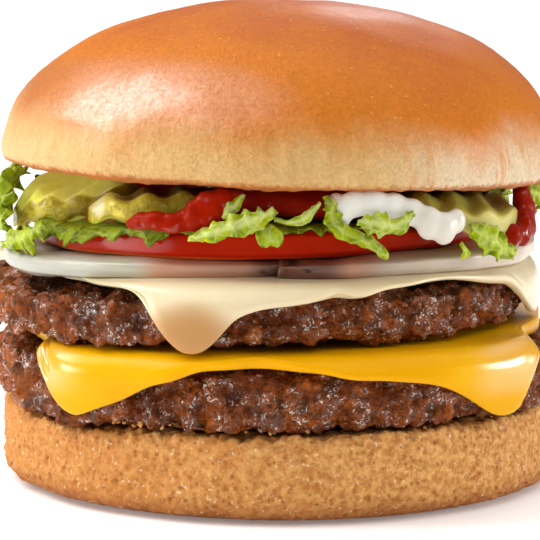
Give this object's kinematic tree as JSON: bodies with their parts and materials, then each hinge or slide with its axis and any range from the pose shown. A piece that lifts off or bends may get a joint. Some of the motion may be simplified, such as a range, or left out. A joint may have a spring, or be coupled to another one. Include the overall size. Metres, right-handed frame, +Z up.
{
  "type": "double cheeseburger",
  "caption": "Stacked hamburger with a domed bun, beef patties, melted cheese, onion, tomato, lettuce, pickles and sauces; rests on its flat base.",
  "frame": {"origin": "centre of the heel's flat underside, on the surface it rests on", "axes": "+Z up through the crown, -Y towards the front that shows the cheese corners, +X to the right of that front"},
  "size_m": [0.1156, 0.1112, 0.0913],
  "materials": {
    "toasted_bread": "matt, porous toasted crumb",
    "bun_crust": "soft shine of a brushed bun",
    "grilled_beef": "wet, rough and craggy",
    "yellow_cheese": "smooth melted shine",
    "white_cheese": "smooth melted shine",
    "raw_onion": "moist",
    "tomato": "wet skin",
    "lettuce": "satin leaf",
    "pickle": "wet",
    "ketchup": "wet gloss",
    "mayonnaise": "smooth gloss"
  },
  "bodies": {
    "root": {"heel": "toasted_bread", "crown": "bun_crust", "patty_bottom": "grilled_beef", "patty_top": "grilled_beef", "cheese_yellow": "yellow_cheese", "cheese_white": "white_cheese", "onion_left": "raw_onion", "onion_right": "raw_onion", "tomato": "tomato", "lettuce_leaf": "lettuce", "lettuce_shred_1": "lettuce", "lettuce_shred_2": "lettuce", "lettuce_shred_3": "lettuce", "lettuce_shred_4": "lettuce", "lettuce_shred_5": "lettuce", "lettuce_shred_6": "lettuce", "lettuce_shred_7": "lettuce", "lettuce_shred_8": "lettuce", "lettuce_shred_9": "lettuce", "lettuce_shred_10": "lettuce", "lettuce_shred_11": "lettuce", "lettuce_shred_12": "lettuce", "lettuce_shred_13": "lettuce", "pickle_1": "pickle", "pickle_2": "pickle", "pickle_3": "pickle", "pickle_4": "pickle", "pickle_5": "pickle", "ketchup": "ketchup", "ketchup_front": "ketchup", "ketchup_right": "ketchup", "mayonnaise": "mayonnaise"}
  },
  "joints": []
}
